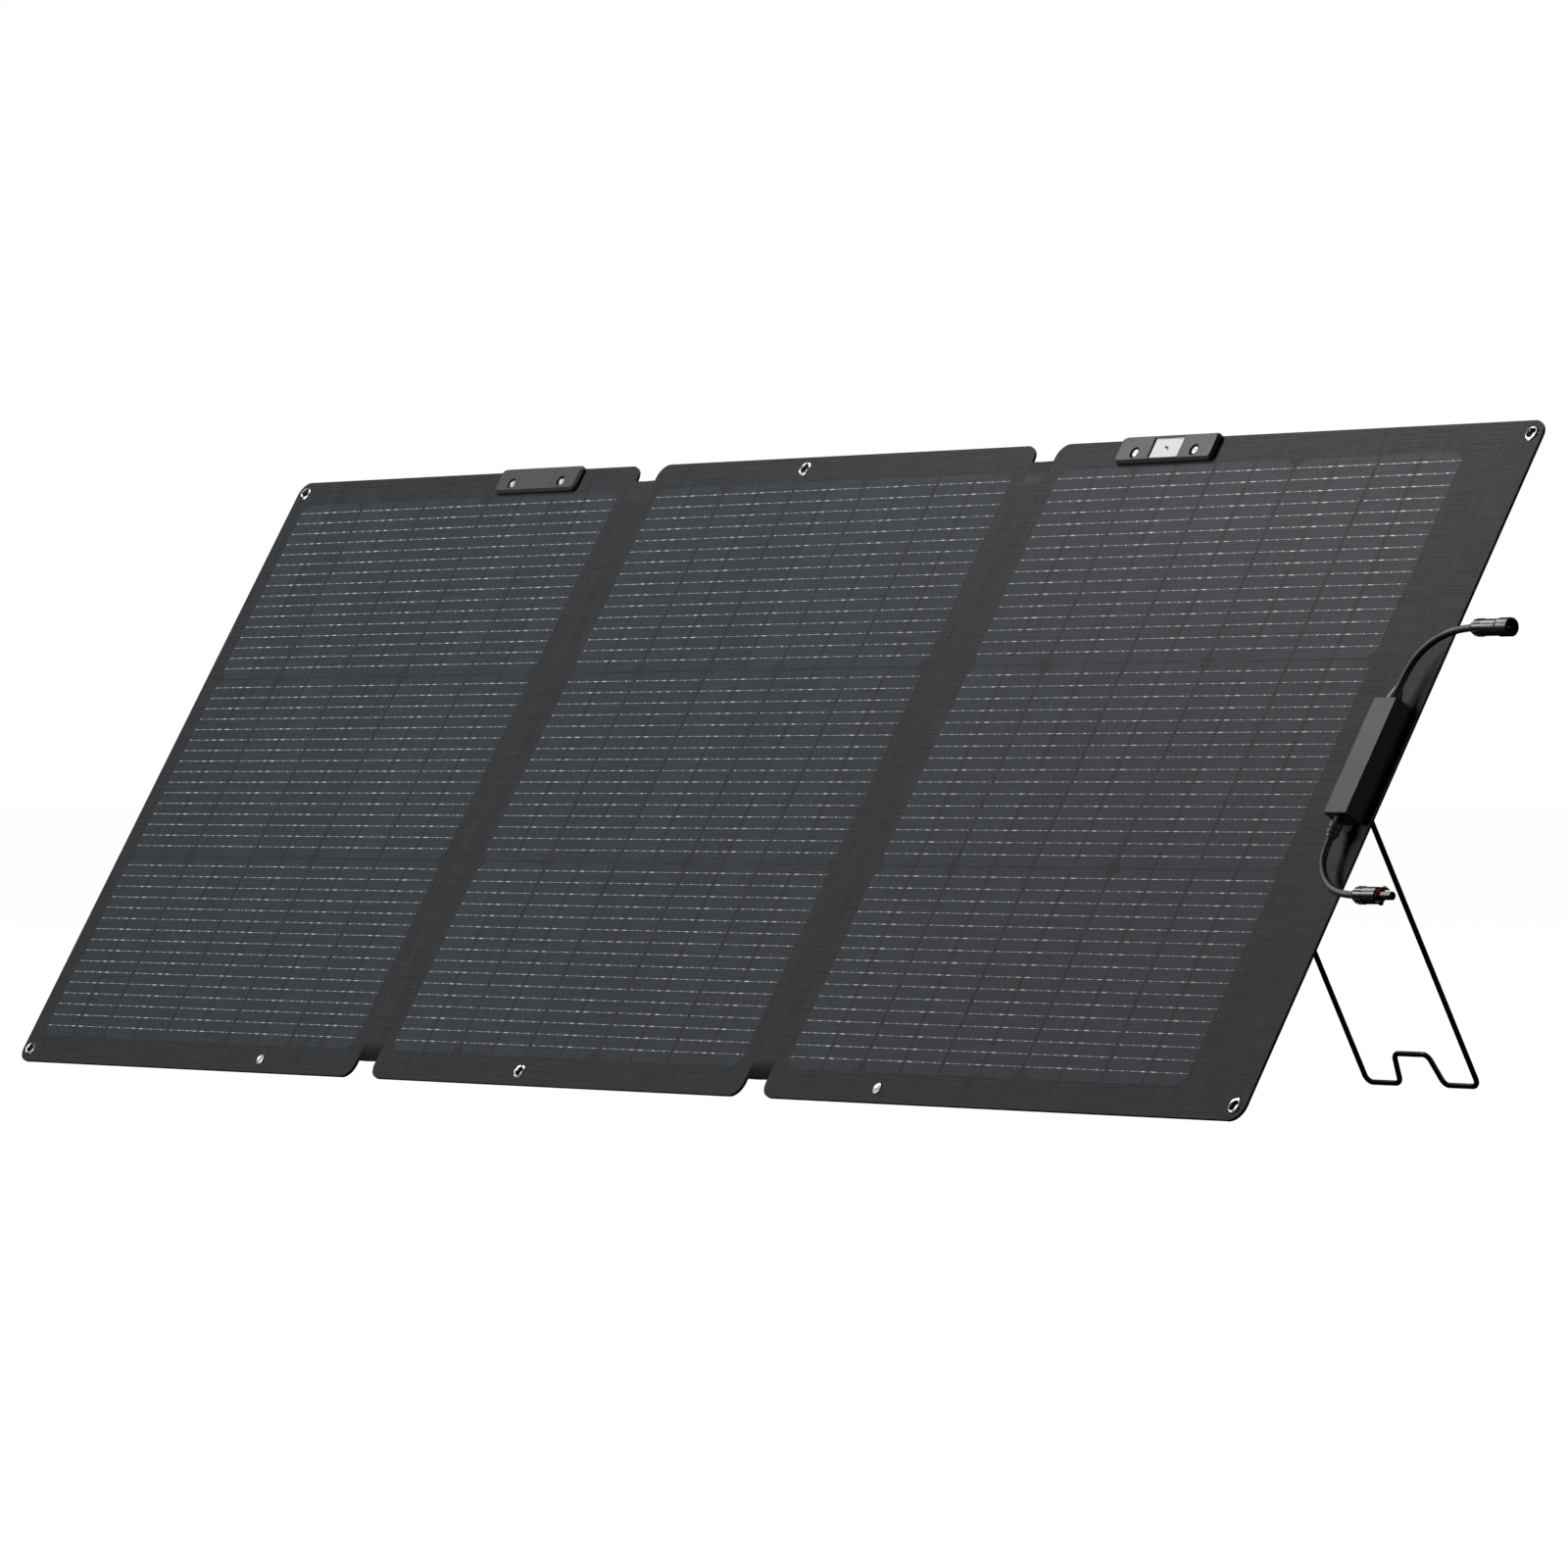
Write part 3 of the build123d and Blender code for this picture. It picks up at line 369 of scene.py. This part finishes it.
def wire_material():
    """Tinned wire, dulled by the film over it."""
    paint = Paint("wire_face", (0.36, 0.37, 0.375), 0.42, metallic=0.1)
    place = paint.flat()
    factor = paint.noise(paint.stretch(place, 0.5, 0.2), detail=3)
    paint.shade(paint.spread(factor, 0.35, 0.65), 0.45, 1.3)
    paint.bump(factor, 0.03, 0.4)
    return paint.material


def pad_material():
    """A soldered pad, brighter than the wire."""
    paint = Paint("pad_face", (0.9, 0.9, 0.89), 0.35, metallic=0.1)
    factor = paint.noise(paint.stretch(paint.flat(), 0.4, 0.4), detail=3)
    paint.shade(paint.spread(factor, 0.3, 0.7), 0.6, 1.25)
    paint.bump(factor, 0.04, 0.5)
    return paint.material


def fabric_material(name, bends=False):
    """Coarse basket weave, two threads over two."""
    paint = Paint(name, (0.036, 0.037, 0.038), 0.8, specular=0.2)
    place = paint.flat_uv() if bends else paint.flat()
    parts = paint.add("SeparateXYZ", {0: place})
    waves = []
    for axis in (0, 1):
        turn = paint.math("MULTIPLY", parts.outputs[axis], math.pi / BACK_THREAD)
        waves.append(paint.math("SINE", turn))
    over = paint.math("SIGN", paint.math("MULTIPLY", *waves))
    warp = paint.math("ABSOLUTE", waves[0])
    weft = paint.math("ABSOLUTE", waves[1])
    mix = paint.add("MixRGB", {"Fac": paint.spread(over, -1, 1), "Color1": warp,
                               "Color2": weft})
    thread = mix.outputs["Color"]
    drift = paint.noise(paint.stretch(place, 0.02, 0.02), detail=4)
    slub = paint.noise(paint.stretch(place, 0.25, 0.25), detail=2)
    uneven = paint.math("MULTIPLY", paint.math("ADD", drift, slub), 0.25)
    paint.shade(paint.math("ADD", paint.math("MULTIPLY", thread, 0.5), uneven), 0.55, 1.6)
    paint.bump(thread, 0.18, 0.8)
    return paint.material


def grained(name, colour, rough, grain_mm=0.6, depth=0.03, highlight_strength=0.35, specular=0.35):
    """Moulded plastic or paint: fine grain, broad uneven sheen, and convex edges made paler as a painted
    highlight.
    """
    paint = Paint(name, colour, rough, specular=specular)
    place = paint.flat()
    grain = paint.noise(place, scale=1 / grain_mm, detail=3)
    broad = paint.noise(place, scale=0.03, detail=3)
    # painted highlight: convex edges, found by pointiness, are made paler
    pointed = paint.add("NewGeometry").outputs["Pointiness"]
    painted_convex_highlight = paint.spread(pointed, 0.52, 0.62)
    mixed = paint.math("ADD", paint.math("MULTIPLY", grain, 0.4),
                       paint.math("MULTIPLY", broad, 0.5))
    paint.shade(paint.math("ADD", mixed, paint.math("MULTIPLY", painted_convex_highlight, highlight_strength)), 0.75, 1.35)
    paint.set_rough(broad, rough + 0.1, rough - 0.08)
    paint.bump(grain, depth, 0.7)
    return paint.material


def brushed(name, colour, rough, along=(0.05, 1.5, 1.5), contrast=0.35):
    """Metal with fine scratches that run one way."""
    paint = Paint(name, colour, rough, metallic=1.0, specular=0.5)
    place = paint.flat()
    lines = paint.noise(paint.stretch(place, *along), scale=3.0, detail=4)
    spots = paint.noise(place, scale=0.5, detail=3)
    factor = paint.math("ADD", paint.math("MULTIPLY", lines, 0.6),
                        paint.math("MULTIPLY", spots, 0.4))
    paint.shade(paint.spread(factor, 0.35, 0.65), 1 - contrast, 1 + contrast * 0.6)
    paint.set_rough(spots, rough + 0.12, rough - 0.08)
    paint.bump(lines, 0.01, 0.5)
    return paint.material


def sheath_material():
    """Cable sheath: fine grain, dulled unevenly."""
    paint = Paint("cable_sheath", (0.042, 0.042, 0.043), 0.45, specular=0.45)
    place = paint.flat()
    grain = paint.noise(place, scale=2.2, detail=2)
    broad = paint.noise(place, scale=0.08, detail=3)
    paint.shade(paint.math("ADD", paint.math("MULTIPLY", grain, 0.4),
                           paint.math("MULTIPLY", broad, 0.5)), 0.7, 1.5)
    paint.set_rough(broad, 0.58, 0.4)
    paint.bump(grain, 0.02, 0.5)
    return paint.material


def glass_fibre(name):
    """The stiff board: a tight square weave in dark resin."""
    paint = Paint(name, (0.03, 0.031, 0.032), 0.5)
    place = paint.flat()
    parts = paint.add("SeparateXYZ", {0: place})
    waves = []
    for axis in (0, 1):
        turn = paint.math("MULTIPLY", parts.outputs[axis], math.pi / BOARD_THREAD)
        waves.append(paint.math("SINE", turn))
    weave = paint.spread(paint.math("MULTIPLY", *waves), -1, 1)
    drift = paint.noise(place, scale=0.04, detail=3)
    paint.shade(paint.math("ADD", paint.math("MULTIPLY", weave, 0.4),
                           paint.math("MULTIPLY", drift, 0.6)), 0.6, 1.4)
    paint.bump(weave, 0.03, 0.5)
    return paint.material


def circuit_material():
    """Green resist with tracks that show as slightly paler stripes."""
    paint = Paint("circuit_resist", (0.02, 0.16, 0.07), 0.35, specular=0.5)
    place = paint.flat()
    tracks = paint.noise(paint.stretch(place, 0.5, 0.06), detail=0)
    step = paint.spread(tracks, 0.5, 0.53)
    grain = paint.noise(place, scale=1.5, detail=2)
    paint.shade(paint.math("ADD", paint.math("MULTIPLY", step, 0.6),
                           paint.math("MULTIPLY", grain, 0.4)), 0.7, 1.5)
    paint.bump(step, 0.04, 0.8)
    return paint.material


def make_finishes():
    """One material for each of the record's slots, and one for the soldered pads."""
    return {
        "front_film": film_material("front_film_face"),
        "encapsulant": grained("encapsulant_sheet", (0.05, 0.052, 0.056), 0.4, 2.0),
        "cell": cell_material(),
        "cell_wire": wire_material(),
        "pad": pad_material(),
        "board": glass_fibre("board_resin"),
        "back_fabric": fabric_material("back_weave"),
        "ribbon": brushed("copper_ribbon", (0.72, 0.4, 0.22), 0.35),
        "eyelet": brushed("nickel_eyelet", (0.72, 0.72, 0.71), 0.24, (0.6, 0.6, 1.5), 0.25),
        "washer": brushed("nickel_washer", (0.6, 0.6, 0.6), 0.35, (0.6, 0.6, 1.5), 0.25),
        "plate": grained("plate_moulding", (0.05, 0.051, 0.053), 0.5, 0.5, 0.035),
        "bracket": grained("bracket_moulding", (0.03, 0.03, 0.031), 0.55, 0.5, 0.035),
        "rivet": brushed("steel_rivet", (0.42, 0.42, 0.42), 0.42, (1.2, 1.2, 0.3), 0.3),
        "guide_target": grained("white_target", (1.0, 1.0, 1.0), 0.35, 1.2, 0.01, 0.0),
        "guide_pin": grained("black_pin", (0.02, 0.02, 0.02), 0.3, 0.5, 0.01),
        "stand_wire": grained("powder_coat", (0.014, 0.014, 0.015), 0.34, 0.35, 0.03, 0.2, 0.5),
        "box": grained("box_moulding", (0.05, 0.051, 0.053), 0.46, 0.45, 0.03),
        "gasket": grained("gasket_rubber", (0.02, 0.02, 0.02), 0.75, 0.8, 0.03),
        "circuit": circuit_material(),
        "diode": grained("diode_epoxy", (0.02, 0.02, 0.021), 0.5, 0.3, 0.02),
        "terminal": brushed("brass_terminal", (0.72, 0.55, 0.25), 0.35),
        "core": brushed("copper_core", (0.75, 0.38, 0.2), 0.35, (1.5, 0.1, 1.5)),
        "gland": grained("gland_rubber", (0.1, 0.1, 0.102), 0.4, 0.4, 0.03, specular=0.5),
        "sheath": sheath_material(),
        "connector": grained("connector_moulding", (0.022, 0.022, 0.024), 0.32, 0.5, 0.02,
                             0.3, 0.5),
        "contact": brushed("tinned_contact", (0.75, 0.74, 0.7), 0.3),
        "seal": grained("red_seal", (0.5, 0.035, 0.04), 0.5, 0.6, 0.02, 0.1),
    }


def paint_nodes(finishes):
    """Give every CAD node the material of its slot."""
    for entry in frame["record"]["subparts"]:
        mesh = frame["nodes"][entry["node"]].data
        mesh.materials.clear()
        mesh.materials.append(finishes[entry["material_slot"]])


# ---- mesh helpers ----
def new_piece(name, bm, body, material, smooth=False):
    """Turn a bmesh in flat millimetres into a piece that rides on a body."""
    bmesh.ops.recalc_face_normals(bm, faces=bm.faces)
    bm.transform(FLAT)
    mesh = bpy.data.meshes.new(name)
    bm.to_mesh(mesh)
    bm.free()
    mesh.materials.append(material)
    for polygon in mesh.polygons:
        polygon.use_smooth = smooth
    piece = bpy.data.objects.new(name, mesh)
    bpy.context.collection.objects.link(piece)
    if body:
        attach(piece, body)
    return piece


def add_slab(bm, outline, low, high, shrink=0.0):
    """A plate with the given outline. Its top is drawn in by shrink, for a bevelled rim."""
    middle_x = sum(x for x, _ in outline) / len(outline)
    middle_y = sum(y for _, y in outline) / len(outline)

    def drawn_in(place, middle):
        step = min(shrink, abs(middle - place))
        return place + math.copysign(step, middle - place)

    bottom = [bm.verts.new((x, y, low)) for x, y in outline]
    top = [bm.verts.new((drawn_in(x, middle_x), drawn_in(y, middle_y), high))
           for x, y in outline]
    bm.faces.new(top)
    bm.faces.new(bottom[::-1])
    for here in range(len(outline)):
        there = (here + 1) % len(outline)
        bm.faces.new((bottom[here], bottom[there], top[there], top[here]))


# ---- cells and wires that show through the film ----
def cell_outline(x, y, width, height, near, far):
    """A cell's corners, with a chamfer of the given size on its near or far side."""
    points = []
    for corner_x, corner_y, cut, steps in (
        (x, y, near, ((0, 1), (1, 0))),
        (x + width, y, far, ((-1, 0), (0, 1))),
        (x + width, y + height, far, ((0, -1), (-1, 0))),
        (x, y + height, near, ((1, 0), (0, -1))),
    ):
        used = steps if cut else steps[:1]
        points += [(corner_x + cut * dx, corner_y + cut * dy) for dx, dy in used]
    return points


def cell_grid(side):
    """Each cell's column, place and size, from the CAD cells' box."""
    low, high = flat_box(f"{side}_cells")
    width = (high.x - low.x - (COLUMNS - 1) * COLUMN_GAP) / COLUMNS
    height = (high.y - low.y - (ROWS - 1) * ROW_GAP) / ROWS
    for row in range(ROWS):
        for column in range(COLUMNS):
            x = low.x + column * (width + COLUMN_GAP)
            y = low.y + row * (height + ROW_GAP)
            yield column, x, y, width, height


def make_cells(side, finishes):
    bm = bmesh.new()
    tones = []
    for column, x, y, width, height in cell_grid(side):
        near = CELL_CHAMFER if column in CUT_NEAR else 0
        far = CELL_CHAMFER if column in CUT_FAR else 0
        before = len(bm.faces)
        outline = cell_outline(x, y, width, height, near, far)
        add_slab(bm, outline, -FILM / 2, CELL_RELIEF, CELL_BEVEL)
        tones += [random.random()] * (len(bm.faces) - before)
    piece = new_piece(f"{side}_cell_faces", bm, f"{side}_panel", finishes["cell"])
    tone = piece.data.attributes.new("tone", "FLOAT", "FACE")
    tone.data.foreach_set("value", tones)
    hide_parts(f"{side}_cells")


def wire_heights(y, height):
    """The wires' places on a cell, counted down from its top edge."""
    pitch = (height - FIRST_WIRE - LAST_WIRE) / (WIRES_PER_ROW - 1)
    return [y + height - FIRST_WIRE - index * pitch for index in range(WIRES_PER_ROW)]


def add_bar(bm, start, end, y, width, low, high):
    """A low ridge along X, with ends that taper to half its width."""
    half = width / 2
    tip = min(width, (end - start) / 3)
    outline = [
        (start, y - half / 2),
        (start + tip, y - half),
        (end - tip, y - half),
        (end, y - half / 2),
        (end, y + half / 2),
        (end - tip, y + half),
        (start + tip, y + half),
        (start, y + half / 2),
    ]
    add_slab(bm, outline, low, high, half * 0.4)


def pad_places(column):
    """The soldered pads on one cell: their starts and ends from the cell's left edge."""
    if column % 2 == 1:
        return [(2.0, 8.2), (20.8, 23.0), (34.8, 38.0)]
    return [(2.8, 5.6), (16.4, 18.6), (28.2, 30.8), (38.4, 43.6)]


def make_wires(side, finishes):
    """Wire lines and pads, broken where one wafer's two quarters end."""
    lines, pads = bmesh.new(), bmesh.new()
    for column, x, y, width, height in cell_grid(side):
        lead_in = WIRE_END / 2 if column % 2 == 0 else 0.0
        lead_out = COLUMN_GAP - (WIRE_NICK if column % 2 == 0 else WIRE_BREAK)
        for line_y in wire_heights(y, height):
            add_bar(lines, x + lead_in, x + width + lead_out, line_y, WIRE_WIDTH, 0.0,
                    WIRE_RELIEF)
            for start, end in pad_places(column):
                shift = random.uniform(-PAD_SHIFT, PAD_SHIFT)
                add_bar(pads, x + start + shift, x + end + shift, line_y, PAD_WIDTH, 0.0,
                        PAD_RELIEF)
    piece = new_piece(f"{side}_wire_lines", lines, f"{side}_panel",
                      finishes["cell_wire"])
    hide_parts(f"{side}_cell_wires")
    new_piece(f"{side}_wire_pads", pads, f"{side}_panel", finishes["pad"])


# ---- soft folds ----
def sheet_mesh(across, up, top, bottom):
    """A thin closed sheet, sagging between its long edges, with flat places as its UV map."""
    columns, rows = FOLD_COLUMNS, FOLD_ROWS
    bm = bmesh.new()
    uv = bm.loops.layers.uv.new("flat")

    def sheet(level):
        grid = []
        for i in range(columns + 1):
            x = across[0] + i / columns * (across[1] - across[0])
            z = level - FOLD_SAG * math.sin(math.pi * i / columns) ** 2
            ys = [up[0] + j / rows * (up[1] - up[0]) for j in range(rows + 1)]
            grid.append([bm.verts.new((x, y, z)) for y in ys])
        return grid

    upper, lower = sheet(top), sheet(bottom)
    for i in range(columns):
        for j in range(rows):
            bm.faces.new((upper[i][j], upper[i + 1][j], upper[i + 1][j + 1], upper[i][j + 1]))
            bm.faces.new((lower[i][j + 1], lower[i + 1][j + 1], lower[i + 1][j], lower[i][j]))
    rim = [(i, 0) for i in range(columns)] + [(columns, j) for j in range(rows)]
    rim += [(i, rows) for i in range(columns, 0, -1)] + [(0, j) for j in range(rows, 0, -1)]
    for (i, j), (k, m) in zip(rim, rim[1:] + rim[:1]):
        bm.faces.new((lower[i][j], lower[k][m], upper[k][m], upper[i][j]))
    for face in bm.faces:
        for loop in face.loops:
            loop[uv].uv = loop.vert.co.xy
    return bm


def make_folds():
    """Front film and back fabric across each fold, built in place and not tied to either panel."""
    film = film_material("fold_film_face", bends=True)
    fabric = fabric_material("fold_weave", bends=True)
    for side in ("left", "right"):
        near, far = ("left", "middle") if side == "left" else ("middle", "right")
        start = flat_box(f"{near}_front_film")[1].x
        end = flat_box(f"{far}_front_film")[0].x
        low, high = flat_box(f"{side}_fold_film")
        half = FOLD_THICKNESS / 2
        for layer, top, bottom, slot, material in (
            ("film", 0.0, -half, "front_film", film),
            ("fabric", -half, -2 * half, "back_fabric", fabric),
        ):
            across = (start - FOLD_LAP, end + FOLD_LAP)
            bm = sheet_mesh(across, (low.y, high.y), top, bottom)
            piece = new_piece(f"{side}_fold_{layer}_skin", bm, None, material, True)
            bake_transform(piece)
            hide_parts(f"{side}_fold_{layer}")
            if layer == "film":
                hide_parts("fold_ribbons")


# ---- leads ----
def lead_route(which):
    """The route's points, from the bottom of the gland's socket."""
    low, high = flat_box(f"{which}_gland")
    tube_low, tube_high = flat_box(f"{which}_lead")
    x = (low.x + high.x) / 2
    z = (tube_low.z + tube_high.z) / 2
    mouth = high.y if which == "upper" else low.y
    start = mouth - SOCKET_DEPTH if which == "upper" else mouth + SOCKET_DEPTH
    bends = UPPER_BENDS if which == "upper" else LOWER_BENDS
    points = [(x, start)] + [(x + dx, mouth + dy) for dx, dy in bends]
    return [to_row(px, py, z) for px, py in points]


def make_lead(which, finishes):
    route = lead_route(which)
    curve = bpy.data.curves.new(f"{which}_lead_cable", "CURVE")
    curve.dimensions = "3D"
    curve.bevel_depth = LEAD_DIAMETER / 2 * MM
    curve.bevel_resolution = 6
    curve.resolution_u = 16
    curve.use_fill_caps = True
    spline = curve.splines.new("NURBS")
    spline.points.add(len(route) - 1)
    for point, place in zip(spline.points, route):
        point.co = (*place, 1)
    spline.order_u = 3
    spline.use_endpoint_u = True
    curve.materials.append(finishes["sheath"])
    cable = bpy.data.objects.new(f"{which}_lead_cable", curve)
    bpy.context.collection.objects.link(cable)
    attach(cable, "right_panel")
    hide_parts(f"{which}_lead")


def split_node(node, name, body, keep):
    """A new piece from those vertices of a CAD node that keep() picks."""
    source = frame["nodes"][node]
    bm = bmesh.new()
    bm.from_mesh(source.data)
    spare = [vertex for vertex in bm.verts if not keep(vertex.co)]
    bmesh.ops.delete(bm, geom=spare, context="VERTS")
    mesh = bpy.data.meshes.new(name)
    bm.to_mesh(mesh)
    bm.free()
    for material in source.data.materials:
        mesh.materials.append(material)
    piece = bpy.data.objects.new(name, mesh)
    bpy.context.collection.objects.link(piece)
    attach(piece, body)
    return piece


def make_leads(finishes):
    low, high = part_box("cable_nuts")
    middle = (low.z + high.z) / 2
    ends = {
        "upper": (0.0946, ["socket_body"]),
        "lower": (0.0919, ["plug_body", "plug_seal", "plug_latch_upper", "plug_latch_lower"]),
    }
    for which, (length, connector) in ends.items():
        def keep(place, above=which == "upper"):
            return (place.z > middle) == above

        nut = split_node("cable_nuts", f"{which}_cable_nut", "right_panel", keep)
        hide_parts("cable_nuts")
        contact = split_node("connector_contacts", f"{which}_contact", "right_panel", keep)
        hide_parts("connector_contacts")
        make_lead(which, finishes)


# ---- softened CAD edges ----
def soften(node):
    """Round a CAD node's sharp edges as a mould would leave them."""
    piece = frame["nodes"][node]
    weld = piece.modifiers.new("weld", "WELD")
    weld.merge_threshold = WELD_DISTANCE * MM
    bevel = piece.modifiers.new("round", "BEVEL")
    bevel.width = SOFT_EDGE * MM
    bevel.segments = 2
    bevel.limit_method = "ANGLE"
    bevel.angle_limit = math.radians(SHARP_ANGLE)


def soften_mouldings():
    for node in ("left_front_plate", "guide_plate", "left_bracket", "right_bracket",
                 "left_foot_clip", "right_foot_clip", "junction_cover"):
        soften(node)


# ---- build ----
add_camera()
finishes = make_finishes()
paint_nodes(finishes)
make_leads(finishes)
add_studio()
for panel in SIDES:
    make_cells(panel, finishes)
    make_wires(panel, finishes)
make_folds()
soften_mouldings()
